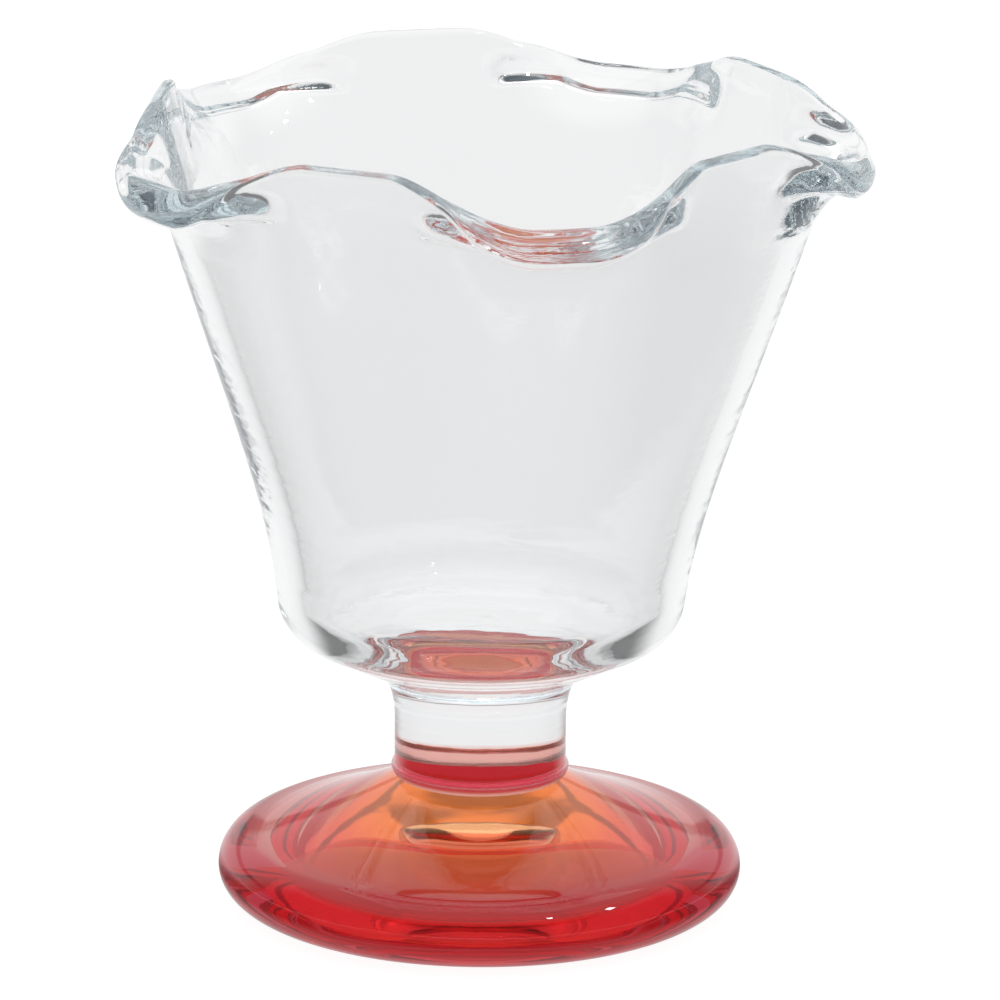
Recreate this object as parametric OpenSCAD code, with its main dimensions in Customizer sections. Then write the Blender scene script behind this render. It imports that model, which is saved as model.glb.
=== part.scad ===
/* [Foot] */
// Radius of the foot at its widest
foot_radius = 36; // [32:0.5:42]
// Height of the foot, from the table to the joint with the stem
foot_height = 17.9; // [14:0.1:24]
// Radius of the rolled edge of the foot, above its widest line
edge_radius = 5; // [3.5:0.1:6]
// How far the edge tucks in below its widest line, down to the table
edge_tuck = 6.6; // [5:0.1:8]
// Width of the level band between the rolled edge and the cone
band_width = 1.6; // [0.5:0.1:4]
// How far the cone of the foot is hollowed between its ends
cone_sag = 0.4; // [0:0.1:1.5]
// Width of the ring that the foot stands on, from the tuck to the hollow
ring_width = 2.6; // [1.5:0.1:6]
// Radius of the roof of the hollow
roof_radius = 10; // [6:0.5:14]
// Height of the hollow
hollow_height = 7; // [3:0.1:9]

/* [Stem] */
// Radius of the stem
stem_radius = 11.8; // [9:0.1:14]
// Length of the stem
stem_length = 15.5; // [12:0.1:30]
// How far the stem flares where it meets the foot
stem_flare = 0.4; // [0.2:0.1:1]
// Height of that flare
flare_height = 2.4; // [1.8:0.1:4]
// Radius of the round under the flare
toe_round = 1.4; // [0.6:0.1:1.6]
// How far the fillet under the bowl spreads from the stem
neck_fillet = 3.4; // [2:0.1:5]
// How far below the bowl that fillet starts
neck_rise = 7.4; // [3:0.1:8]

/* [Bowl] */
// Height from the stem to where the lip begins to turn
turn_height = 63.1; // [55:0.1:90]
// Radius of the bowl where the lip begins to turn, at mid wall
turn_radius = 41.5; // [38:0.1:48]
// Radius of the bowl at the foot of its wall, at mid wall
base_radius = 26; // [23:0.1:29]
// Height of the foot of the wall above the stem
base_height = 9.9; // [9:0.1:14]
// Radius of the round under the bowl
base_round = 7; // [5:0.1:9]
// Thickness of the glass between the stem and the floor of the bowl
floor_thickness = 3; // [2:0.1:6]
// Radius between the floor and the wall inside the bowl
floor_round = 9.5; // [6:0.1:12]
// Thickness of the wall at its foot
base_wall = 3.9; // [2.5:0.1:5]
// Thickness of the wall where the lip begins to turn
top_wall = 3.2; // [2:0.1:4]
// How deep the five soft flutes of the wall are at the top
flute_depth = 1.4; // [0:0.1:2]

/* [Ruffled rim] */
// Number of lobes round the rim
lobes = 5; // [3:1:8]
// Length of the turned lip at the middle of a lobe
lobe_turn = 10.8; // [6:0.1:13]
// Length of the straight lip past the turn at a lobe
lobe_lip = 0.4; // [0.2:0.1:4]
// Thickness of the lip at a lobe, without its bead
lobe_wall = 3.4; // [2.5:0.1:5]
// Lean of the lip at a lobe, in degrees from upright
lobe_lean = 56; // [40:0.5:80]
// Depth of the bead rolled under the lip of a lobe
lip_bead = 2; // [0.5:0.1:3]
// Half the width of that bead
bead_width = 2.8; // [2:0.1:4]
// How far the bead has left the edge where it dies out at the side of a lobe
bead_drop = 5; // [2:0.1:7]
// Length of the upright edge at a crest, between two lobes
crest_turn = 15.8; // [12:0.1:20]
// Thickness of the edge at a crest
crest_wall = 2.2; // [1.6:0.1:3]
// Lean of the edge at a crest, in degrees from upright
crest_lean = 12; // [2:1:16]

/* [Hidden] */
$fn = 96;

// Steps of the bowl: round each lobe, up the wall, along the lip and round an edge
lobe_steps = 20;
wall_steps = 9;
turn_steps = 10;
round_steps = 5;
curve_steps = 10;

// Shape of the wall: its lean at the foot and where the lip turns, in degrees,
// and how far each end pulls the curve
base_lean = 7;
turn_lean = 17.5;
base_pull_share = 0.27;
turn_pull_share = 0.5;
flute_rise_share = 1.2;

// Shape of a lobe: from its middle to the crest it is flat up to the first share,
// and has gone by the second
lobe_flat_share = 0.11;
lobe_end_share = 0.8;
lobe_turn_share = 0.88;

// How late the lip thickens towards the middle of a lobe
lobe_swell_share = 2.5;

// Shape of the bead, from the middle of a lobe to the crest: it shrinks from the first share,
// leaves the edge from the second, and has gone by the last
bead_flat_share = 0.56;
bead_start_share = 0.33;
bead_end_share = 0.69;

// How much closer together the sections are at the sides of the lobes
side_crowd_share = 0.5;

// How square the end of the lip is: one gives a half round, less gives a flatter end
edge_square_share = 0.75;

// Shape of the hollow under the foot, and the slope of the band, in degrees
hollow_curve_share = 1.6;
band_slope = 9;

// Times that the search for a height on the wall halves its range
halvings = 20;

pitch = 360 / lobes;
hollow_radius = foot_radius - edge_tuck - ring_width;
stem_z = foot_height;
bowl_z = stem_z + stem_length;
wall_z = bowl_z + base_height;
turn_z = bowl_z + turn_height;
floor_z = bowl_z + floor_thickness;
joint_radius = stem_radius + stem_flare - toe_round;
neck_radius = stem_radius + neck_fillet;

function along(a, b, u) = a + (b - a) * u;
function clamp(u) = min(1, max(0, u));
function smooth(u) = u * u * (3 - 2 * u);

// Points of an oval's arc round centre c, from angle a to angle b
function oval(c, reach, rise, a, b, steps) =
    [for (i = [0:steps]) let (t = along(a, b, i / steps)) [c[0] + reach * cos(t), c[1] + rise * sin(t)]];
function arc(c, r, a, b, steps) = oval(c, r, r, a, b, steps);

// How far a value is from low to high
function share(v, low, high) = clamp((v - low) / (high - low));

// Nothing at the middle of a lobe and one at a crest. One lobe faces the front, at -90 degrees
function off_lobe(a) = abs((a + 90 + pitch * (lobes + 0.5)) % pitch - pitch / 2) / (pitch / 2);

// One at the middle of a lobe and nothing at a crest
function lobe(a) = 1 - smooth(share(off_lobe(a), lobe_flat_share, lobe_end_share));

// Angle of a section, closest to its neighbours at the sides of the lobes
function turn_at(i) =
    let (u = i / lobe_steps)
    (u + side_crowd_share * sin(720 * u) / (4 * PI)) * pitch - 90;

// Glass that the bead adds on the outer side, at a distance from the edge
function bead(a, short) =
    let (
        u = off_lobe(a),
        drop = bead_drop * share(u, bead_start_share, bead_end_share),
        size = lip_bead * (1 - smooth(share(u, bead_flat_share, bead_end_share))),
        fade = clamp(1 - pow((short - drop) / bead_width, 2))
    )
    size * fade * fade;

// Mid wall as a curve with four control points
pull_low = (turn_z - wall_z) * base_pull_share;
pull_high = (turn_z - wall_z) * turn_pull_share;
wall_points = [
    [base_radius, wall_z],
    [base_radius + pull_low * sin(base_lean), wall_z + pull_low * cos(base_lean)],
    [turn_radius - pull_high * sin(turn_lean), turn_z - pull_high * cos(turn_lean)],
    [turn_radius, turn_z]
];
function wall_at(t) =
    let (s = 1 - t)
    s * s * s * wall_points[0] + 3 * s * s * t * wall_points[1]
    + 3 * s * t * t * wall_points[2] + t * t * t * wall_points[3];
function wall_slope(t) =
    let (s = 1 - t)
    s * s * (wall_points[1] - wall_points[0]) + 2 * s * t * (wall_points[2] - wall_points[1])
    + t * t * (wall_points[3] - wall_points[2]);

// A station of the wall is [radius, height, lean, thickness, bead]
function wall_station(t, a) =
    let (
        p = wall_at(t),
        d = wall_slope(t),
        flute = flute_depth * pow(t, flute_rise_share) * cos(lobes * (a + 90))
    )
    [p[0] + flute, p[1], atan2(d[0], d[1]), along(base_wall, top_wall, t), 0];

// Where up the wall it reaches height z, found by halving
function wall_reach(z, low = 0, high = 1, left = halvings) =
    let (mid = (low + high) / 2)
    left == 0 ? mid
    : wall_at(mid)[1] < z ? wall_reach(z, mid, high, left - 1)
    : wall_reach(z, low, mid, left - 1);

// Stations of the lip, which leans out along an arc and then runs straight
function lip_stations(a) =
    let (
        w = lobe(a),
        start = wall_station(1, a),
        reach = along(crest_turn, lobe_turn, w),
        lean = along(crest_lean, lobe_lean, pow(w, lobe_turn_share)),
        wall = along(crest_wall, lobe_wall, pow(w, lobe_swell_share)),
        bend = (lean - turn_lean) * PI / 180,
        radius = abs(bend) < 0.001 ? 0 : reach / bend
    )
    [for (i = [1:turn_steps + 1])
        let (
            u = min(1, i / turn_steps),
            t = along(turn_lean, lean, u),
            run = i > turn_steps ? lobe_lip * w : 0,
            out = radius == 0 ? reach * u * sin(t) : radius * (cos(turn_lean) - cos(t)),
            up = radius == 0 ? reach * u * cos(t) : radius * (sin(t) - sin(turn_lean))
        )
        [start[0] + out + run * sin(t), start[1] + up + run * cos(t), t, along(top_wall, wall, u),
            bead(a, reach * (1 - u) + lobe_lip * w - run)]];

// Outer and inner point of a station
function outer(s) = [s[0] + (s[3] / 2 + s[4]) * cos(s[2]), s[1] - (s[3] / 2 + s[4]) * sin(s[2])];
function inner(s) = [s[0] - s[3] / 2 * cos(s[2]), s[1] + s[3] / 2 * sin(s[2])];

// Points round the end of the lip, from its outer side to its inner side
function lip_end(s) =
    let (half = (s[3] + s[4]) / 2)
    [for (i = [1:round_steps - 1])
        let (
            t = 180 * i / round_steps,
            across = sign(cos(t)) * pow(abs(cos(t)), edge_square_share) * half + s[4] / 2,
            past = pow(sin(t), edge_square_share) * half
        )
        [s[0] + across * cos(s[2]) + past * sin(s[2]), s[1] - across * sin(s[2]) + past * cos(s[2])]];

// Section of the bowl at angle a, from its underside over the rim to its floor
function bowl_section(a) =
    let (
        foot = wall_station(0, a),
        low = outer(foot),
        under = [low[0] - base_round * cos(foot[2]), low[1] + base_round * sin(foot[2])],
        gap = under - [neck_radius, bowl_z],
        slope = atan2(gap[1], gap[0]) - asin(base_round / norm(gap)),
        start = wall_reach(floor_z + floor_round),
        rise = wall_station(start, a),
        high = inner(rise),
        inside = [high[0] - floor_round * cos(rise[2]), floor_z + floor_round],
        lip = lip_stations(a),
        edge = lip[turn_steps]
    )
    concat(
        [[neck_radius, bowl_z]],
        arc(under, base_round, slope - 90, -foot[2], round_steps),
        [for (i = [1:wall_steps]) outer(wall_station(i / wall_steps, a))],
        [for (s = lip) outer(s)],
        lip_end(edge),
        [for (i = [turn_steps:-1:0]) inner(lip[i])],
        [for (i = [wall_steps:-1:1]) inner(wall_station(along(start, 1, i / wall_steps), a))],
        arc(inside, floor_round, -rise[2], -90, round_steps)
    );

// A solid skinned over sections of equal length at the given angles, closed at its bottom and its top
module skin(sections, turns) {
    around = len(sections);
    rings = len(sections[0]);
    points = [for (i = [0:around - 1]) for (p = sections[i])
        [p[0] * cos(turns[i]), p[0] * sin(turns[i]), p[1]]];
    side = [for (i = [0:around - 1]) for (j = [0:rings - 2])
        let (k = (i + 1) % around)
        [i * rings + j, i * rings + j + 1, k * rings + j + 1, k * rings + j]];
    bottom = [for (i = [0:around - 1]) i * rings];
    top = [for (i = [around - 1:-1:0]) i * rings + rings - 1];
    polyhedron(concat(points, [[0, 0, sections[0][0][1]], [0, 0, sections[0][rings - 1][1]]]),
        concat(
            [for (f = side) [f[0], f[1], f[2]]],
            [for (f = side) [f[0], f[2], f[3]]],
            [for (i = [0:around - 1]) [around * rings, bottom[i], bottom[(i + 1) % around]]],
            [for (i = [0:around - 1]) [around * rings + 1, top[i], top[(i + 1) % around]]]
        ));
}

// The bowl: a rounded base, fluted walls and a rim of five turned-out lobes
module bowl() {
    turns = [for (i = [0:lobes * lobe_steps - 1]) turn_at(i)];
    color([0.86, 0.88, 0.89])
        skin([for (a = turns) bowl_section(a)], turns);
}

// The stem: a short clear shaft with a small flare below and a fillet above
module stem() {
    toe = [joint_radius, stem_z + toe_round];
    shaft = [stem_radius, stem_z + flare_height];
    neck = [neck_radius, bowl_z - neck_rise];
    color([0.88, 0.88, 0.88])
        rotate_extrude()
            polygon(concat(
                [[0, stem_z]],
                arc(toe, toe_round, -90, 0, curve_steps),
                [for (i = [1:curve_steps - 1])
                    let (u = i / curve_steps)
                    [along(toe[0] + toe_round, shaft[0], smooth(u)), along(toe[1], shaft[1], u)]],
                [shaft],
                oval(neck, neck_fillet, neck_rise, 180, 90, curve_steps),
                [[0, bowl_z]]
            ));
}

// The foot: a cone with a rolled edge, hollow underneath
module foot() {
    edge = [foot_radius - edge_radius, edge_radius];
    tuck = [foot_radius - edge_tuck, edge_radius];
    band = [edge[0] + edge_radius * sin(band_slope), edge[1] + edge_radius * cos(band_slope)];
    cone = [band[0] - band_width, band[1] + band_width * tan(band_slope)];
    color([0.83, 0.16, 0.1])
        rotate_extrude()
            polygon(concat(
                [[0, hollow_height]],
                [for (i = [0:curve_steps])
                    let (u = i / curve_steps)
                    [along(roof_radius, hollow_radius, u),
                        hollow_height * (1 - pow(u, hollow_curve_share))]],
                oval(tuck, edge_tuck, edge_radius, -90, 0, curve_steps),
                arc(edge, edge_radius, 90 / curve_steps, 90 - band_slope, curve_steps),
                [for (i = [0:curve_steps])
                    let (u = i / curve_steps)
                    [along(cone[0], joint_radius, u),
                        along(cone[1], stem_z, u) - 4 * cone_sag * u * (1 - u)]],
                [[0, stem_z]]
            ));
}

bowl();
stem();
foot();
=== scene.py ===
"""A parfait glass on its table: a clear ruffled bowl and stem on a red-orange foot.

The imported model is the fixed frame. Three finer pieces of glass stand in for its nodes, and a pale studio
with one camera stands round them. The pieces and the camera are given in millimetres and become metres when
they are built. The lamps and the studio are given in metres. Angles are degrees where nothing else is said.
"""

import logging
import math
from dataclasses import dataclass, field
from enum import Enum
from typing import Dict, List, Sequence, Tuple, Union

import bpy
import numpy as np
from mathutils import Matrix, Vector


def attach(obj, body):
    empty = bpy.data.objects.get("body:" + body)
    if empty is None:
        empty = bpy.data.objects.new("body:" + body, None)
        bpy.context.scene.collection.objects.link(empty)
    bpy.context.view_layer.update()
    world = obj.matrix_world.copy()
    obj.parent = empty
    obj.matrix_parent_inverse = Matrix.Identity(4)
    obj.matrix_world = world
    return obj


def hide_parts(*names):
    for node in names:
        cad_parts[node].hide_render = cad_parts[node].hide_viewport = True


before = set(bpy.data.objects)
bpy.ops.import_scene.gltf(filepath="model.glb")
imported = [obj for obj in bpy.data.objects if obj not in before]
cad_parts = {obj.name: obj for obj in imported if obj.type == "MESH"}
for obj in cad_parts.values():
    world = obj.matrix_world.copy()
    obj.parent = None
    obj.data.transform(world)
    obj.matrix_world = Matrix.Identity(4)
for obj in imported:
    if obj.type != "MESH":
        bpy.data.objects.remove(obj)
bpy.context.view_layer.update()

MM = 0.001  # metres
MERGE = 1e-6  # metres within which points become one
FULL_TURN = 2 * math.pi
CREASE = 30.0  # degrees from which an edge stays sharp
JOINT_SLACK = 0.001  # millimetres on either side of a flat joint
LEAST_BEND = 1e-4  # radians, so that a straight lip is still an arc
WHITE = (1.0, 1.0, 1.0, 1.0)

Point = Tuple[float, float]
Span = Tuple[float, float]
Joint = Tuple[float, float, float]
Colour = Tuple[float, float, float, float]
Number = Union[float, np.ndarray]
Socket = bpy.types.NodeSocket

log = logging.getLogger("parfait_glass")


# Curves


def along(a: Number, b: Number, u: Number) -> Number:
    """Value a share u of the way from a to b."""
    return a + (b - a) * u


def smooth(u: Number) -> Number:
    """Eases a share from zero to one with level ends."""
    return u * u * (3 - 2 * u)


def share(value: Number, low: float, high: float) -> Number:
    """Gives how far a value is from low to high, held between zero and one."""
    return np.clip((value - low) / (high - low), 0, 1)


def arc(centre: Point, radius: float, start: float, end: float, steps: int) -> List[Point]:
    """Gives points of an arc.

    Args:
        centre: The arc's centre, as radius and height.
        radius: The arc's own radius.
        start: Angle of the first point, in degrees.
        end: Angle of the last point, in degrees.
        steps: Number of steps between them.

    Returns:
        The points, both ends included.
    """
    turns = [math.radians(along(start, end, i / steps)) for i in range(steps + 1)]
    return [(centre[0] + radius * math.cos(t), centre[1] + radius * math.sin(t)) for t in turns]


def line(start: Point, end: Point, steps: int) -> List[Point]:
    """Gives the points after start on a straight line to end.

    Args:
        start: Where the line comes from.
        end: Its last point.
        steps: Number of steps.

    Returns:
        The points, without start.
    """
    shares = [i / steps for i in range(1, steps + 1)]
    return [(along(start[0], end[0], u), along(start[1], end[1], u)) for u in shares]


# Meshes


def deselect() -> None:
    """Deselects every object."""
    bpy.ops.object.select_all(action="DESELECT")


def pick(piece: bpy.types.Object) -> None:
    """Makes one object the only selected and the active one.

    Args:
        piece: The object.
    """
    deselect()
    piece.select_set(True)
    bpy.context.view_layer.objects.active = piece


def turned(name: str, profile: Sequence[Point], steps: int) -> bpy.types.Object:
    """Spins a profile round the axis into a closed shell.

    Args:
        name: Name of the new object.
        profile: Points of radius and height in millimetres, from axis to axis.
        steps: Number of steps round the axis.

    Returns:
        The new object, at the origin.
    """
    mesh = bpy.data.meshes.new(name)
    points = [(r * MM, 0.0, z * MM) for r, z in profile]
    mesh.from_pydata(points, [(i, i + 1) for i in range(len(points) - 1)], [])
    piece = bpy.data.objects.new(name, mesh)
    bpy.context.scene.collection.objects.link(piece)
    pick(piece)
    bpy.ops.object.mode_set(mode="EDIT")
    bpy.ops.mesh.select_all(action="SELECT")
    bpy.ops.mesh.spin(steps=steps, angle=FULL_TURN, center=(0, 0, 0), axis=(0, 0, 1))
    bpy.ops.mesh.select_all(action="SELECT")
    bpy.ops.mesh.remove_doubles(threshold=MERGE)
    bpy.ops.mesh.normals_make_consistent(inside=False)
    bpy.ops.object.mode_set(mode="OBJECT")
    return piece


def flat_joint(height: float, radius: float) -> Joint:
    """Gives the lowest height, highest height and radius of a flat joint."""
    return height - JOINT_SLACK, height + JOINT_SLACK, radius


def mark_joints(piece: bpy.types.Object, joints: Sequence[Joint]) -> None:
    """Marks the faces where a piece is fused to another, and makes the edges round them crisp.

    Args:
        piece: The piece of glass.
        joints: Lowest height, highest height and radius of each joint, in millimetres.
    """
    mesh = piece.data
    count = len(mesh.polygons)
    centres = np.empty(count * 3)
    mesh.polygons.foreach_get("center", centres)
    centres = centres.reshape(-1, 3) / MM
    reach = np.hypot(centres[:, 0], centres[:, 1])
    fused = np.zeros(count, bool)
    for low, high, radius in joints:
        fused |= (centres[:, 2] > low) & (centres[:, 2] < high) & (reach < radius)
    mask = mesh.attributes.new("fused", "FLOAT", "FACE")
    mask.data.foreach_set("value", fused.astype(np.float32))
    sides: Dict[Tuple[int, int], List[bool]] = {}
    for face in mesh.polygons:
        for key in face.edge_keys:
            sides.setdefault(key, []).append(bool(fused[face.index]))
    crisp = mesh.attributes.get("sharp_edge") or mesh.attributes.new("sharp_edge", "BOOLEAN", "EDGE")
    for edge in mesh.edges:
        if len(set(sides[edge.key])) > 1:
            crisp.data[edge.index].value = True


def polish(piece: bpy.types.Object) -> None:
    """Shades a piece smooth, apart from its creases and the edges round its joints."""
    pick(piece)
    bpy.ops.object.shade_smooth_by_angle(angle=math.radians(CREASE), keep_sharp_edges=True)


def place(piece: bpy.types.Object, node: str, material: bpy.types.Material) -> None:
    """Dresses a piece and lets it stand in for its node.

    Args:
        piece: The finished piece.
        node: The node of the frame that it replaces.
        material: The piece's finish.
    """
    piece.data.materials.append(material)
    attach(piece, "root")
    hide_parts(node)


# Finishes


class Nodes:
    """Builds a node tree, one node at a time."""

    def __init__(self, tree: bpy.types.NodeTree) -> None:
        """Keeps the tree to build in."""
        self.tree = tree

    @classmethod
    def fresh(cls, owner: Union[bpy.types.Material, bpy.types.World]) -> "Nodes":
        """Empties the tree of a material or a world.

        Args:
            owner: The material or world.

        Returns:
            The builder of its tree.
        """
        owner.use_nodes = True
        owner.node_tree.nodes.clear()
        return cls(owner.node_tree)

    def add(self, kind: str, **settings) -> bpy.types.Node:
        """Adds a node.

        Args:
            kind: The node's type.
            settings: Its properties, and its inputs under "inputs".

        Returns:
            The new node.
        """
        inputs = settings.pop("inputs", {})
        node = self.tree.nodes.new(kind)
        for name, value in settings.items():
            setattr(node, name, value)
        for name, value in inputs.items():
            if isinstance(value, Socket):
                self.tree.links.new(value, node.inputs[name])
            else:
                node.inputs[name].default_value = value
        return node

    def math(self, operation: str, *values) -> Socket:
        """Adds a math node and gives its result."""
        return self.add("ShaderNodeMath", operation=operation, inputs=dict(enumerate(values))).outputs[0]

    def vector(self, operation: str, *values) -> bpy.types.Node:
        """Adds a vector math node."""
        return self.add("ShaderNodeVectorMath", operation=operation, inputs=dict(enumerate(values)))

    def mix(self, part: Socket, first: Union[Colour, Socket], second: Union[Colour, Socket]) -> Socket:
        """Adds a mix of two colours and gives its result."""
        return self.add("ShaderNodeMix", data_type="RGBA", inputs={0: part, 6: first, 7: second}).outputs[2]

    def ease(self, value: Socket, span: Span, start: float, end: float) -> Socket:
        """Goes softly from start to end while a value goes through a span.

        Args:
            value: The value.
            span: Where the way begins and ends.
            start: Result up to the beginning of the span.
            end: Result from its end on.

        Returns:
            The socket that puts the result out.
        """
        return self.add("ShaderNodeMapRange", interpolation_type="SMOOTHSTEP", inputs={
            "Value": value, "From Min": span[0], "From Max": span[1],
            "To Min": start, "To Max": end}).outputs[0]

    def spot(self) -> Socket:
        """Gives the place on the object."""
        return self.add("ShaderNodeTexCoord").outputs["Object"]

    def height(self) -> Socket:
        """Gives the height on the object."""
        return self.add("ShaderNodeSeparateXYZ", inputs={0: self.spot()}).outputs["Z"]

    def cloud(self, scale: float, detail: float) -> Socket:
        """Gives a cloud of values round a half, fixed to the object."""
        return self.add("ShaderNodeTexNoise", inputs={
            "Vector": self.spot(), "Scale": scale, "Detail": detail}).outputs[0]


@dataclass(frozen=True)
class Skin:
    """The skin that all the glass shares: soft waves left by the mould and the flame, and finer streaks."""

    name: str = "fire_polished_skin"
    wave_detail: float = 1.0
    wave_roughness: float = 0.4
    streak_detail: float = 2.0
    streak_fineness: float = 3.0
    streak_flatness: float = 3.0

    def build(self) -> bpy.types.NodeTree:
        """Builds the skin.

        Returns:
            A group that puts out the height of the waves.
        """
        group = bpy.data.node_groups.new(self.name, "ShaderNodeTree")
        for name in ("Wave Scale", "Streak"):
            group.interface.new_socket(name, in_out="INPUT", socket_type="NodeSocketFloat")
        group.interface.new_socket("Height", in_out="OUTPUT", socket_type="NodeSocketFloat")
        nodes = Nodes(group)
        given = nodes.add("NodeGroupInput").outputs
        spot = nodes.spot()
        waves = nodes.add("ShaderNodeTexNoise", inputs={
            "Vector": spot, "Scale": given["Wave Scale"], "Detail": self.wave_detail,
            "Roughness": self.wave_roughness}).outputs[0]
        flat = nodes.add("ShaderNodeMapping", inputs={
            "Vector": spot, "Scale": (1.0, 1.0, self.streak_flatness)}).outputs[0]
        streaks = nodes.add("ShaderNodeTexNoise", inputs={
            "Vector": flat, "Scale": nodes.math("MULTIPLY", given["Wave Scale"], self.streak_fineness),
            "Detail": self.streak_detail}).outputs[0]
        height = nodes.math("ADD", waves, nodes.math("MULTIPLY", streaks, given["Streak"]))
        nodes.add("NodeGroupOutput", inputs={"Height": height})
        return group


@dataclass(frozen=True)
class Glass:
    """A glass with a fire-polished skin. Its depth absorbs by the metre, and its waves are metres high."""

    name: str
    tint: Colour = WHITE
    tint_lift: float = 1.01
    cloud_scale: float = 20.0
    cloud_detail: float = 1.0
    depth_colour: Colour = WHITE
    depth_density: float = 0.0
    index: float = 1.51
    wave_scale: float = 45.0
    wave_height: float = 0.0001
    streak: float = 0.25
    fuses: bool = True

    def colour(self, nodes: Nodes) -> Socket:
        """Gives the colour of the skin, with a faint cloud in it.

        Args:
            nodes: The builder of the material's tree.

        Returns:
            The socket that puts the colour out.
        """
        lifted = tuple(min(1.0, part * self.tint_lift) for part in self.tint)
        return nodes.mix(nodes.cloud(self.cloud_scale, self.cloud_detail), self.tint, lifted)

    def roughness(self, nodes: Nodes) -> Union[float, Socket]:
        """Gives the roughness of the skin, which is none."""
        return 0.0

    def material(self, skin: bpy.types.NodeTree) -> bpy.types.Material:
        """Builds the material.

        Args:
            skin: The shared fire-polished skin.

        Returns:
            The material. If it fuses, its faces marked as fused let light straight through.
        """
        made = bpy.data.materials.new(self.name)
        nodes = Nodes.fresh(made)
        waves = nodes.add("ShaderNodeGroup", node_tree=skin, inputs={
            "Wave Scale": self.wave_scale, "Streak": self.streak}).outputs["Height"]
        bump = nodes.add("ShaderNodeBump", inputs={
            "Strength": 1.0, "Distance": self.wave_height, "Height": waves}).outputs[0]
        fused = nodes.add("ShaderNodeAttribute", attribute_name="fused").outputs["Fac"]
        shader = nodes.add("ShaderNodeBsdfPrincipled", inputs={
            "Base Color": self.colour(nodes), "Roughness": self.roughness(nodes), "IOR": self.index,
            "Transmission Weight": 1.0, "Normal": bump,
            "Alpha": nodes.math("SUBTRACT", 1.0, fused) if self.fuses else 1.0})
        layers = {"Surface": shader.outputs[0]}
        if self.depth_density:
            layers["Volume"] = nodes.add("ShaderNodeVolumeAbsorption", inputs={
                "Color": self.depth_colour, "Density": self.depth_density}).outputs[0]
        nodes.add("ShaderNodeOutputMaterial", inputs=layers)
        return made


@dataclass(frozen=True)
class SeamedGlass(Glass):
    """A clear glass that is duller at its low end, where it was joined hot to the foot."""

    low: float = 19.2
    high: float = 21.2
    dullness: float = 0.3

    def roughness(self, nodes: Nodes) -> Socket:
        """Gives the roughness of the skin, which fades out upwards from the seam.

        Args:
            nodes: The builder of the material's tree.

        Returns:
            The socket that puts the roughness out.
        """
        return nodes.ease(nodes.height(), (self.low * MM, self.high * MM), self.dullness, 0.0)


@dataclass(frozen=True)
class ShadedGlass(Glass):
    """A glass whose colour changes with the distance from the axis, and drifts a little with a cloud."""

    cloud_scale: float = 45.0
    cloud_detail: float = 3.0
    shades: Tuple[Tuple[float, Colour], ...] = ()
    start: float = 0.0
    reach: float = 40.0
    drift: float = 5.0

    def measure(self, nodes: Nodes) -> Socket:
        """Gives the measure, in metres, that the colour changes with: the distance from the axis."""
        level = nodes.vector("MULTIPLY", nodes.spot(), (1, 1, 0)).outputs[0]
        return nodes.vector("LENGTH", level).outputs["Value"]

    def colour(self, nodes: Nodes) -> Socket:
        """Shades the colour along the measure.

        Args:
            nodes: The builder of the material's tree.

        Returns:
            The socket that puts the colour out.
        """
        past = nodes.math("SUBTRACT", self.measure(nodes), self.start * MM)
        cloud = nodes.math("SUBTRACT", nodes.cloud(self.cloud_scale, self.cloud_detail), 0.5)
        ramp = nodes.add("ShaderNodeValToRGB", inputs={"Fac": nodes.math(
            "ADD", nodes.math("DIVIDE", past, self.reach * MM),
            nodes.math("MULTIPLY", cloud, self.drift / self.reach))})
        stops = ramp.color_ramp.elements
        while len(stops) < len(self.shades):
            stops.new(1.0)
        for stop, (at, colour) in zip(stops, self.shades):
            stop.position = (at - self.start) / self.reach
            stop.color = colour
        return ramp.outputs["Color"]


@dataclass(frozen=True)
class Stain(ShadedGlass):
    """The red where the foot runs up into the stem. It bends no light, and its colour changes with height."""

    cloud_scale: float = 160.0
    cloud_detail: float = 2.0
    start: float = 17.9
    reach: float = 3.0
    drift: float = 0.36
    index: float = 1.0
    wave_height: float = 0.0
    fuses: bool = False

    def measure(self, nodes: Nodes) -> Socket:
        """Gives the measure, in metres, that the colour changes with: the height."""
        return nodes.height()


CLEAR = Glass(
    "clear_glass", tint=(0.968, 0.970, 0.972, 1), depth_colour=(0.80, 0.90, 0.93, 1), depth_density=4.0)
SEAMED = SeamedGlass(
    "clear_glass_seam", tint=CLEAR.tint, depth_colour=CLEAR.depth_colour, depth_density=CLEAR.depth_density)
# Amber by the stem, brick red on the cone and crimson at the rolled edge.
RED = ShadedGlass("red_orange_glass", shades=(
    (10.0, (1.0, 0.27, 0.045, 1)), (17.0, (0.98, 0.22, 0.05, 1)), (23.0, (0.88, 0.13, 0.07, 1)),
    (29.0, (0.80, 0.09, 0.07, 1)), (32.0, (0.58, 0.003, 0.008, 1)), (36.0, (0.50, 0.002, 0.006, 1))))
# Milky red that fades out into the clear stem.
STAIN = Stain("red_stain", shades=(
    (17.9, (0.80, 0.17, 0.13, 1)), (18.5, (0.84, 0.24, 0.19, 1)), (19.7, (0.84, 0.22, 0.17, 1)),
    (20.45, (0.88, 0.40, 0.33, 1)), (20.9, WHITE)))


# Pieces


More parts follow.
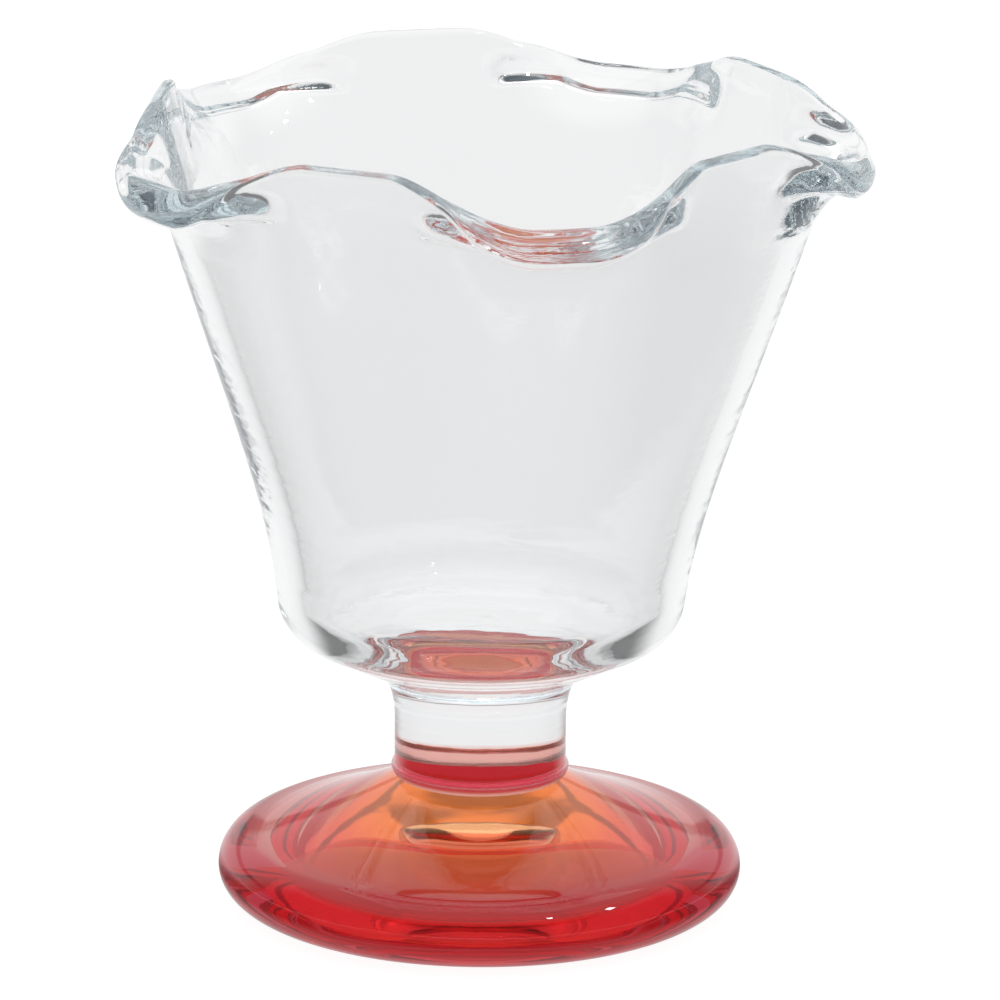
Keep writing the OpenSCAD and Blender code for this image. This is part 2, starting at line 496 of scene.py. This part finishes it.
@dataclass(frozen=True)
class Foot:
    """The red-orange foot: a cone with a rolled edge, hollow underneath, that runs up into the stem."""

    radius: float = 36.0
    height: float = 17.9
    edge_radius: float = 5.0
    edge_tuck: float = 6.6
    band_width: float = 1.6
    band_slope: float = 9.0
    cone_sag: float = 0.4
    ring_width: float = 2.6
    roof_radius: float = 10.0
    hollow_height: float = 7.0
    hollow_curve: float = 1.6
    joint_radius: float = 10.8
    cup_height: float = 3.0
    cup_reach: float = 11.2
    cup_curve: int = 3
    flat_steps: int = 4
    fine_steps: int = 24
    around: int = 240

    def profile(self) -> List[Point]:
        """Gives the foot's section, from the roof of the hollow over the edge to the cup inside the stem.

        Returns:
            Points of radius and height.
        """
        tuck = self.radius - self.edge_tuck
        hollow = tuck - self.ring_width
        shares = [i / self.fine_steps for i in range(self.fine_steps + 1)]
        roof = (0.0, self.hollow_height)
        under = [(along(self.roof_radius, hollow, u), self.hollow_height * (1 - u ** self.hollow_curve))
                 for u in shares]
        rolled = [(tuck + self.edge_tuck * math.cos(t), self.edge_radius + self.edge_radius * math.sin(t))
                  for t in (math.radians(along(-90, 0, u)) for u in shares)]
        centre = (self.radius - self.edge_radius, self.edge_radius)
        upper = arc(centre, self.edge_radius, 0, 90 - self.band_slope, self.fine_steps)
        band = upper[-1]
        rise = self.band_width * math.tan(math.radians(self.band_slope))
        cone = (band[0] - self.band_width, band[1] + rise)
        top = [(along(cone[0], self.joint_radius, u),
                along(cone[1], self.height, u) - 4 * self.cone_sag * u * (1 - u)) for u in shares]
        wet = [(along(self.joint_radius, self.cup_reach, u), self.height + self.cup_height * u)
               for u in shares]
        cup = [(self.cup_reach * (1 - u), self.height + self.cup_height * (1 - u) ** self.cup_curve)
               for u in shares]
        return ([roof] + line(roof, under[0], self.flat_steps)[:-1] + under
                + rolled + upper[1:] + top + wet[1:] + cup[1:])

    def build(self, material: bpy.types.Material, stain: bpy.types.Material) -> bpy.types.Object:
        """Turns and dresses the foot.

        Args:
            material: The red glass.
            stain: The finish of the cup inside the stem.

        Returns:
            The finished foot.
        """
        piece = turned("red_foot", self.profile(), self.around)
        mark_joints(piece, [(self.height, self.height + self.cup_height, self.cup_reach)])
        polish(piece)
        place(piece, "foot", material)
        piece.data.materials.append(stain)
        fused = piece.data.attributes["fused"].data
        for face in piece.data.polygons:
            faces_axis = face.normal.xy.dot(face.center.xy) < 0
            face.material_index = int(bool(fused[face.index].value) and faces_axis)
        return piece


@dataclass(frozen=True)
class Stem:
    """The short clear shaft, with a small flare below and a fillet above."""

    foot: Foot = Foot()
    radius: float = 11.8
    length: float = 15.5
    flare_height: float = 2.4
    toe_round: float = 1.4
    neck_fillet: float = 3.4
    neck_rise: float = 7.4
    flat_steps: int = 4
    shaft_steps: int = 12
    fine_steps: int = 16
    around: int = 192

    @property
    def top(self) -> float:
        """Height of the joint with the bowl."""
        return self.foot.height + self.length

    @property
    def neck_radius(self) -> float:
        """Radius of the joint with the bowl."""
        return self.radius + self.neck_fillet

    def profile(self) -> List[Point]:
        """Gives the stem's section, from the joint with the foot up to the joint with the bowl.

        Returns:
            Points of radius and height.
        """
        low = self.foot.height
        joint = self.foot.joint_radius
        shares = [i / self.fine_steps for i in range(self.fine_steps + 1)]
        sunk = [(joint * u, low) for u in shares]
        toe = arc((joint, low + self.toe_round), self.toe_round, -90, 0, self.fine_steps)
        flare = [(along(toe[-1][0], self.radius, smooth(u)), along(toe[-1][1], low + self.flare_height, u))
                 for u in shares]
        neck = (self.radius, self.top - self.neck_rise)
        shaft = line(flare[-1], neck, self.shaft_steps)[:-1]
        fillet = [(self.neck_radius - self.neck_fillet * math.cos(t), neck[1] + self.neck_rise * math.sin(t))
                  for t in (math.radians(90 * u) for u in shares)]
        roof = line(fillet[-1], (0.0, self.top), self.flat_steps)
        return sunk + toe[1:] + flare[1:] + shaft + fillet + roof

    def build(self, material: bpy.types.Material) -> bpy.types.Object:
        """Turns and dresses the stem.

        Args:
            material: The clear glass with the dull seam.

        Returns:
            The finished stem.
        """
        piece = turned("clear_stem", self.profile(), self.around)
        mark_joints(piece, [flat_joint(self.foot.height, self.foot.joint_radius),
                            flat_joint(self.top, self.neck_radius)])
        polish(piece)
        place(piece, "stem", material)
        return piece


@dataclass(frozen=True)
class Bowl:
    """The clear bowl: a thick base, fluted walls and a rim of five turned-out lobes."""

    stem: Stem = Stem()
    turn_height: float = 63.1
    turn_radius: float = 41.36
    base_radius: float = 26.0
    base_height: float = 9.9
    base_round: float = 7.0
    floor_thickness: float = 3.0
    floor_round: float = 9.5
    base_wall: float = 3.9
    top_wall: float = 3.2
    flute_depth: float = 1.4
    lobes: int = 5
    first_lobe: float = -90.0
    lobe_turn: float = 10.8
    lobe_lip: float = 0.4
    lobe_wall: float = 3.4
    lobe_swell: float = 2.5
    lobe_lean: float = 56.0
    crest_turn: float = 15.8
    crest_wall: float = 2.2
    crest_lean: float = 12.0
    base_lean: float = 7.0
    turn_lean: float = 17.5
    base_pull: float = 0.27
    turn_pull: float = 0.5
    flute_rise: float = 1.2
    lobe_flat: float = 0.11
    lobe_end: float = 0.8
    lobe_ease: float = 0.88
    lip_bead: float = 2.0
    bead_width: float = 2.8
    bead_drop: float = 5.0
    bead_flat: float = 0.56
    bead_start: float = 0.33
    bead_end: float = 0.69
    side_crowd: float = 0.5
    edge_square: float = 0.75
    flat_steps: int = 4
    cone_steps: int = 6
    floor_steps: int = 6
    lobe_steps: int = 64
    wall_steps: int = 36
    turn_steps: int = 36
    run_steps: int = 6
    edge_steps: int = 18
    round_steps: int = 14
    halvings: int = 30

    @property
    def bottom(self) -> float:
        """Height of the joint with the stem."""
        return self.stem.top

    @property
    def floor(self) -> float:
        """Height of the floor inside the bowl."""
        return self.bottom + self.floor_thickness

    def control_points(self) -> List[np.ndarray]:
        """Gives the control points of the mid wall.

        Returns:
            Four points of radius and height, from the base to the turn.
        """
        low, high = self.bottom + self.base_height, self.bottom + self.turn_height
        pull_low, pull_high = (high - low) * self.base_pull, (high - low) * self.turn_pull
        lean_low, lean_high = math.radians(self.base_lean), math.radians(self.turn_lean)
        return [np.array(p) for p in (
            (self.base_radius, low),
            (self.base_radius + pull_low * math.sin(lean_low), low + pull_low * math.cos(lean_low)),
            (self.turn_radius - pull_high * math.sin(lean_high), high - pull_high * math.cos(lean_high)),
            (self.turn_radius, high))]

    def wall_at(self, t: float) -> np.ndarray:
        """Gives the mid wall's radius and height at a share of its length."""
        p, s = self.control_points(), 1 - t
        return s ** 3 * p[0] + 3 * s * s * t * p[1] + 3 * s * t * t * p[2] + t ** 3 * p[3]

    def wall_slope(self, t: float) -> np.ndarray:
        """Gives the direction of the mid wall at a share of its length."""
        p, s = self.control_points(), 1 - t
        return s * s * (p[1] - p[0]) + 2 * s * t * (p[2] - p[1]) + t * t * (p[3] - p[2])

    def wall_reach(self, height: float) -> float:
        """Finds where the mid wall reaches a height, by halving.

        Args:
            height: The height.

        Returns:
            The share of the wall's length.
        """
        low, high = 0.0, 1.0
        for _ in range(self.halvings):
            middle = (low + high) / 2
            if self.wall_at(middle)[1] < height:
                low = middle
            else:
                high = middle
        return (low + high) / 2

    def off_lobe(self, turns: np.ndarray) -> np.ndarray:
        """Gives how far each angle is from a lobe.

        Args:
            turns: Angles round the axis.

        Returns:
            Nothing at the middle of a lobe, and one at a crest.
        """
        pitch = 360 / self.lobes
        past = (turns - self.first_lobe + pitch * (self.lobes + 0.5)) % pitch
        return np.abs(past - pitch / 2) / (pitch / 2)

    def lobe(self, turns: np.ndarray) -> np.ndarray:
        """Weighs each angle: one at the middle of a lobe and nothing at a crest."""
        return 1 - smooth(share(self.off_lobe(turns), self.lobe_flat, self.lobe_end))

    def bead(self, turns: np.ndarray, short: np.ndarray) -> np.ndarray:
        """Gives the bead under a lobe's lip, which leaves the edge and dies out on the wall beside the lobe.

        Args:
            turns: Angles round the axis.
            short: How far the station is from the edge, for each angle.

        Returns:
            The glass that the bead adds on the outer side.
        """
        off = self.off_lobe(turns)
        drop = self.bead_drop * share(off, self.bead_start, self.bead_end)
        size = self.lip_bead * (1 - smooth(share(off, self.bead_flat, self.bead_end)))
        return size * np.clip(1 - ((short - drop) / self.bead_width) ** 2, 0, 1) ** 2

    def turns(self) -> np.ndarray:
        """Gives the angles of the sections, closest together at the sides of the lobes.

        Returns:
            The angles, once round from the middle of the first lobe.
        """
        steps = np.arange(self.lobes * self.lobe_steps) / self.lobe_steps
        crowd = self.side_crowd * np.sin(2 * FULL_TURN * steps) / (2 * FULL_TURN)
        return (steps + crowd) * 360 / self.lobes + self.first_lobe

    def wall_station(self, t: float, turns: np.ndarray) -> np.ndarray:
        """Gives a station of the wall, which has no bead.

        Args:
            t: Share of the wall's length.
            turns: Angles round the axis.

        Returns:
            Radius, height, lean in radians, thickness and bead, with one row for each angle.
        """
        p, d = self.wall_at(t), self.wall_slope(t)
        wave = np.cos(np.radians(self.lobes * (turns - self.first_lobe)))
        flute = self.flute_depth * t ** self.flute_rise * wave
        same = np.ones_like(turns)
        return np.stack([p[0] + flute, p[1] * same, math.atan2(d[0], d[1]) * same,
                         along(self.base_wall, self.top_wall, t) * same, 0 * same], axis=1)

    def lip_stations(self, turns: np.ndarray) -> List[np.ndarray]:
        """Gives the stations of the lip, which leans out along an arc and then runs straight.

        Args:
            turns: Angles round the axis.

        Returns:
            The stations from the turn to the edge, each as wall_station gives them.
        """
        w = self.lobe(turns)
        start = self.wall_station(1.0, turns)
        reach = along(self.crest_turn, self.lobe_turn, w)
        first = math.radians(self.turn_lean)
        lean = np.radians(along(self.crest_lean, self.lobe_lean, w ** self.lobe_ease))
        wall = along(self.crest_wall, self.lobe_wall, w ** self.lobe_swell)
        bend = lean - first
        bend = np.where(np.abs(bend) < LEAST_BEND, LEAST_BEND, bend)
        radius = reach / bend
        stations = []
        for i in range(1, self.turn_steps + self.run_steps + 1):
            u = min(1.0, i / self.turn_steps)
            t = along(first, first + bend, u)
            run = self.lobe_lip * w * max(0.0, (i - self.turn_steps) / self.run_steps)
            out = radius * (math.cos(first) - np.cos(t)) + run * np.sin(t)
            up = radius * (np.sin(t) - math.sin(first)) + run * np.cos(t)
            bead = self.bead(turns, reach * (1 - u) + self.lobe_lip * w - run)
            stations.append(np.stack([start[:, 0] + out, start[:, 1] + up, t,
                                      along(self.top_wall, wall, u), bead], axis=1))
        return stations

    @staticmethod
    def side(station: np.ndarray, which: int) -> np.ndarray:
        """Gives one skin at a station.

        Args:
            station: The station, as wall_station gives it.
            which: 1 for the outer skin and -1 for the inner one.

        Returns:
            Radius and height, with one row for each angle.
        """
        r, z, lean, thick, bead = station.T
        off = which * thick / 2 + max(0, which) * bead
        return np.stack([r + off * np.cos(lean), z - off * np.sin(lean)], axis=1)

    def edge(self, station: np.ndarray) -> List[np.ndarray]:
        """Rounds the end of the lip, from its outer side to its inner side.

        Args:
            station: The lip's last station, as wall_station gives it.

        Returns:
            Points of radius and height, each with one row for each angle.
        """
        r, z, lean, thick, bead = station.T
        r, z, thick = r + bead / 2 * np.cos(lean), z - bead / 2 * np.sin(lean), thick + bead
        points = []
        for i in range(1, self.edge_steps):
            t = math.pi * i / self.edge_steps
            across = math.copysign(abs(math.cos(t)) ** self.edge_square, math.cos(t)) * thick / 2
            past = math.sin(t) ** self.edge_square * thick / 2
            points.append(np.stack([r + across * np.cos(lean) + past * np.sin(lean),
                                    z - across * np.sin(lean) + past * np.cos(lean)], axis=1))
        return points

    def underside(self) -> List[Point]:
        """Gives the glass under the bowl, from the neck along a cone to the round of its base.

        Returns:
            Points of radius and height.
        """
        foot = self.wall_station(0.0, np.zeros(1))
        low = self.side(foot, 1)[0]
        lean = math.radians(self.base_lean)
        centre = (low[0] - self.base_round * math.cos(lean), low[1] + self.base_round * math.sin(lean))
        neck = (self.stem.neck_radius, self.bottom)
        gap = (centre[0] - neck[0], centre[1] - neck[1])
        slope = math.atan2(gap[1], gap[0]) - math.asin(self.base_round / math.hypot(*gap))
        base = arc(centre, self.base_round, math.degrees(slope) - 90, -self.base_lean, self.round_steps)
        return [neck] + line(neck, base[0], self.cone_steps)[:-1] + base

    def sections(self, turns: np.ndarray) -> np.ndarray:
        """Gives the bowl's sections from its underside over the rim to its floor.

        Args:
            turns: Angles round the axis.

        Returns:
            Points of radius and height, indexed by angle and by place on the section.
        """
        same = np.ones((len(turns), 1))
        start, under = (0.0, self.bottom), self.underside()
        rows = [np.array(p) * same for p in [start] + line(start, under[0], self.flat_steps)[:-1] + under]
        rows += [self.side(self.wall_station(i / self.wall_steps, turns), 1)
                 for i in range(1, self.wall_steps + 1)]
        lip = self.lip_stations(turns)
        rows += [self.side(s, 1) for s in lip]
        rows += self.edge(lip[-1])
        rows += [self.side(s, -1) for s in reversed(lip)]
        low = self.wall_reach(self.floor + self.floor_round)
        rows += [self.side(self.wall_station(along(low, 1.0, i / self.wall_steps), turns), -1)
                 for i in range(self.wall_steps, 0, -1)]
        rise = self.wall_station(low, turns)
        high = self.side(rise, -1)
        inside = high[:, 0] - self.floor_round * np.cos(rise[:, 2])
        for i in range(self.round_steps + 1):
            t = along(-rise[:, 2], -math.pi / 2, i / self.round_steps)
            rows.append(np.stack([inside + self.floor_round * np.cos(t),
                                  self.floor + self.floor_round + self.floor_round * np.sin(t)], axis=1))
        last = rows[-1]
        rows += [np.stack([last[:, 0] * (1 - i / self.floor_steps), self.floor * same[:, 0]], axis=1)
                 for i in range(1, self.floor_steps + 1)]
        return np.stack(rows, axis=1)

    def ruffle(self, piece: bpy.types.Object, profile: np.ndarray) -> None:
        """Moves the points of the spun bowl to the section at their own angle.

        Args:
            piece: The bowl as it was spun from one section.
            profile: That section.
        """
        turns = self.turns()
        sections = self.sections(turns)
        points = np.empty(len(piece.data.vertices) * 3)
        piece.data.vertices.foreach_get("co", points)
        points = points.reshape(-1, 3) / MM
        reach, turn = np.hypot(points[:, 0], points[:, 1]), np.arctan2(points[:, 1], points[:, 0])
        near = np.stack([reach, points[:, 2]], axis=1)
        which = np.argmin(((near[:, None, :] - profile[None]) ** 2).sum(axis=2), axis=1)
        column = np.rint(turn / FULL_TURN * len(turns)).astype(int) % len(turns)
        moved, turn = sections[column, which], np.radians(turns[column])
        points = np.stack([moved[:, 0] * np.cos(turn), moved[:, 0] * np.sin(turn), moved[:, 1]], axis=1)
        piece.data.vertices.foreach_set("co", (points * MM).ravel())
        piece.data.update()

    def build(self, material: bpy.types.Material) -> bpy.types.Object:
        """Turns, ruffles and dresses the bowl.

        Args:
            material: The clear glass.

        Returns:
            The finished bowl.
        """
        profile = self.sections(np.zeros(1))[0]
        piece = turned("clear_bowl", [tuple(p) for p in profile], self.lobes * self.lobe_steps)
        self.ruffle(piece, profile)
        mark_joints(piece, [flat_joint(self.bottom, self.stem.neck_radius)])
        polish(piece)
        place(piece, "bowl", material)
        return piece


# Studio


@dataclass(frozen=True)
class Camera:
    """The photograph's view: a long lens that looks down on the glass. Its yaw is in radians."""

    focal_pixels: float = 9154.0
    frame_pixels: float = 1000.0
    sensor: float = 36.0
    distance: float = 1250.0
    elevation: float = 15.73
    yaw: float = 0.00197
    roll: float = 0.42
    aim_height: float = 56.9
    turn: float = -12.2

    def build(self) -> bpy.types.Object:
        """Places the camera and makes it the scene's own.

        Returns:
            The camera.
        """
        rise = math.radians(self.elevation)
        lift = self.aim_height + self.distance * math.sin(rise)
        stand = Vector((0.0, -self.distance * math.cos(rise), lift))
        ahead = Vector((0.0, math.cos(rise), -math.sin(rise)))
        right = Vector((1.0, 0.0, 0.0))
        up = right.cross(ahead)
        c, s = math.cos(self.yaw), math.sin(self.yaw)
        ahead, right = c * ahead + s * right, c * right - s * ahead
        c, s = math.cos(math.radians(self.roll)), math.sin(math.radians(self.roll))
        right, up = c * right + s * up, c * up - s * right
        turn = Matrix.Rotation(math.radians(self.turn), 3, "Z")
        basis = (turn @ Matrix((right, up, -ahead)).transposed()).to_4x4()
        data = bpy.data.cameras.new("camera")
        data.sensor_width = self.sensor
        data.lens = self.focal_pixels * self.sensor / self.frame_pixels
        camera = bpy.data.objects.new("camera", data)
        camera.matrix_world = Matrix.Translation(turn @ stand * MM) @ basis
        bpy.context.scene.collection.objects.link(camera)
        bpy.context.scene.camera = camera
        return camera


class Softness(Enum):
    """How wide a lamp is, in metres."""

    SPARK = 0.05
    BOX = 1.2


@dataclass(frozen=True)
class Lamp:
    """A square lamp that faces the glass, from an azimuth that runs clockwise from +Y as seen from above."""

    name: str
    azimuth: float
    elevation: float
    distance: float
    softness: Softness
    radiance: float
    lights_floor: bool = True
    aim_height: float = 0.06

    def build(self) -> None:
        """Hangs the lamp."""
        turn, rise = math.radians(self.azimuth), math.radians(self.elevation)
        away = Vector((math.sin(turn) * math.cos(rise), math.cos(turn) * math.cos(rise), math.sin(rise)))
        data = bpy.data.lights.new(self.name, "AREA")
        data.shape = "SQUARE"
        data.size = self.softness.value
        data.energy = self.radiance * math.pi * data.size ** 2
        lamp = bpy.data.objects.new(self.name, data)
        lamp.location = away * self.distance + Vector((0, 0, self.aim_height))
        lamp.rotation_euler = away.to_track_quat("Z", "Y").to_euler()
        lamp.visible_diffuse = self.lights_floor
        bpy.context.scene.collection.objects.link(lamp)


@dataclass(frozen=True)
class Studio:
    """A pale floor under soft light, bright behind and above and dimmer at the sides and in front.

    Rays that come by way of the glass see a floor whose own light, painted light and painted shade, changes
    from place to place:
    it is high right under the glass, behind it and far away, low beside it and in front, and a painted shadow
    darkens it towards the axis.
    The spans are distances from the axis on the floor, and parts of a direction in the surroundings.
    """

    back_azimuth: float = 12.2
    floor_size: float = 8.0
    floor_sides: int = 96
    floor_grey: float = 0.2
    floor_glow: float = 0.95
    # Painted light and painted shade on the floor, seen only by rays that come by glass.
    glass_glow: float = 0.8
    front_glow: float = 0.05
    behind_span: Span = (0.22, 0.7)
    near_span: Span = (0.034, 0.046)
    far_glow: float = 0.72
    far_span: Span = (0.15, 0.26)
    # Painted shadow on the floor under the foot.
    shade: float = 0.55
    shade_span: Span = (0.008, 0.06)
    dim: Colour = (0.11, 0.13, 0.15, 1)
    bright: float = 0.95
    back_lift: float = 0.25
    back_span: Span = (0.28, 0.7)
    high_span: Span = (0.55, 0.85)
    band: float = 0.4
    band_height: float = 0.27
    band_span: Span = (0.02, 0.06)
    light_bounces: int = 128
    clear_bounces: int = 64
    depth_bounces: int = 4
    lamps: Tuple[Lamp, ...] = field(default_factory=lambda: (
        Lamp("overhead_box", 20, 75, 1.4, Softness.BOX, 0.6),
        Lamp("right_spark", 116, 45, 1.0, Softness.SPARK, 60.0, False),
        Lamp("front_spark", 152, 50, 1.2, Softness.SPARK, 40.0, False),
    ))

    @staticmethod
    def grey(level: float) -> Colour:
        """Gives the grey of a level."""
        return level, level, level, 1.0

    def backwards(self, nodes: Nodes, spot: Socket, lift: float) -> Socket:
        """Gives how far a place or a direction lies towards the back of the studio.

        Args:
            nodes: The builder of the tree.
            spot: The place or direction.
            lift: How much of its height counts too.

        Returns:
            The socket that puts the result out.
        """
        turn = math.radians(self.back_azimuth)
        return nodes.vector("DOT_PRODUCT", spot, (math.sin(turn), math.cos(turn), lift)).outputs["Value"]

    def glow(self, nodes: Nodes) -> Socket:
        """Gives the floor's own light: even for the camera, and painted light and shade by place for rays
        that come by glass.

        Args:
            nodes: The builder of the floor's tree.

        Returns:
            The socket that puts the light's strength out.
        """
        rays = nodes.add("ShaderNodeLightPath").outputs
        by_glass = nodes.math("MAXIMUM", rays["Is Glossy Ray"], rays["Is Transmission Ray"])
        spot = nodes.spot()
        away = nodes.vector("LENGTH", spot).outputs["Value"]
        behind = nodes.math("DIVIDE", self.backwards(nodes, spot, 0.0), away)
        # Painted light behind the glass, painted shade beside it and in front.
        sector = nodes.ease(behind, self.behind_span, self.front_glow, self.glass_glow)
        near = nodes.ease(away, self.near_span, self.glass_glow, 0.0)
        far = nodes.ease(away, self.far_span, 0.0, self.far_glow)
        # Painted shadow: the glow for glass rays dims towards the axis, under the foot.
        shade = nodes.ease(away, self.shade_span, self.shade, 1.0)
        lit = nodes.math("MAXIMUM", nodes.math("MAXIMUM", sector, near), far)
        painted_by_place = nodes.math("MULTIPLY", lit, shade)
        return nodes.math("MAXIMUM", nodes.math("MULTIPLY", rays["Is Camera Ray"], self.floor_glow),
                          nodes.math("MULTIPLY", by_glass, painted_by_place))

    def build_floor(self) -> None:
        """Lays the floor, which keeps a faint shadow of the glass."""
        deselect()
        bpy.ops.mesh.primitive_circle_add(
            vertices=self.floor_sides, radius=self.floor_size / 2, fill_type="NGON")
        floor = bpy.context.active_object
        floor.name = "floor"
        paint = bpy.data.materials.new("pale_floor")
        nodes = Nodes.fresh(paint)
        matt = nodes.add("ShaderNodeBsdfDiffuse", inputs={"Color": self.grey(self.floor_grey)})
        glow = nodes.add("ShaderNodeEmission", inputs={"Color": WHITE, "Strength": self.glow(nodes)})
        both = nodes.add("ShaderNodeAddShader", inputs={0: matt.outputs[0], 1: glow.outputs[0]})
        nodes.add("ShaderNodeOutputMaterial", inputs={"Surface": both.outputs[0]})
        floor.data.materials.append(paint)

    def build_world(self) -> None:
        """Paints the surroundings: white for the camera, and by direction for all other rays."""
        world = bpy.data.worlds.new("studio")
        bpy.context.scene.world = world
        nodes = Nodes.fresh(world)
        ray = nodes.add("ShaderNodeTexCoord").outputs["Generated"]
        high = nodes.add("ShaderNodeSeparateXYZ", inputs={0: ray}).outputs["Z"]
        back_part = nodes.ease(self.backwards(nodes, ray, self.back_lift), self.back_span, 0.0, 1.0)
        high_part = nodes.ease(high, self.high_span, 0.0, 1.0)
        off_band = nodes.math("ABSOLUTE", nodes.math("SUBTRACT", high, self.band_height))
        banded = nodes.math("MULTIPLY", back_part, nodes.ease(off_band, self.band_span, self.band, 1.0))
        lit = nodes.mix(nodes.math("MAXIMUM", banded, high_part), self.dim, self.grey(self.bright))
        rays = nodes.add("ShaderNodeLightPath").outputs
        shown = nodes.mix(rays["Is Camera Ray"], lit, WHITE)
        paint = nodes.add("ShaderNodeBackground", inputs={"Color": shown, "Strength": 1.0})
        nodes.add("ShaderNodeOutputWorld", inputs={"Surface": paint.outputs[0]})

    def build(self) -> None:
        """Builds the floor, the surroundings and the lamps, and lets light through many layers of glass."""
        self.build_floor()
        self.build_world()
        for lamp in self.lamps:
            lamp.build()
        scene = bpy.context.scene
        scene.view_settings.view_transform = "Standard"
        scene.cycles.max_bounces = self.light_bounces
        scene.cycles.transmission_bounces = self.light_bounces
        scene.cycles.glossy_bounces = self.light_bounces
        scene.cycles.transparent_max_bounces = self.clear_bounces
        scene.cycles.volume_bounces = self.depth_bounces


def main() -> None:
    """Builds the studio, the camera and the three pieces of glass, and reports each piece."""
    logging.basicConfig(level=logging.INFO, format="%(name)s: %(message)s")
    Studio().build()
    camera = Camera().build()
    log.info("%s: %.1f mm lens", camera.name, camera.data.lens)
    skin = Skin().build()
    clear, seamed, red, stain = (finish.material(skin) for finish in (CLEAR, SEAMED, RED, STAIN))
    for piece in (Foot().build(red, stain), Stem().build(seamed), Bowl().build(clear)):
        log.info("%s: %d faces, %s", piece.name, len(piece.data.polygons), piece.data.materials[0].name)


if __name__ == "__main__":
    main()
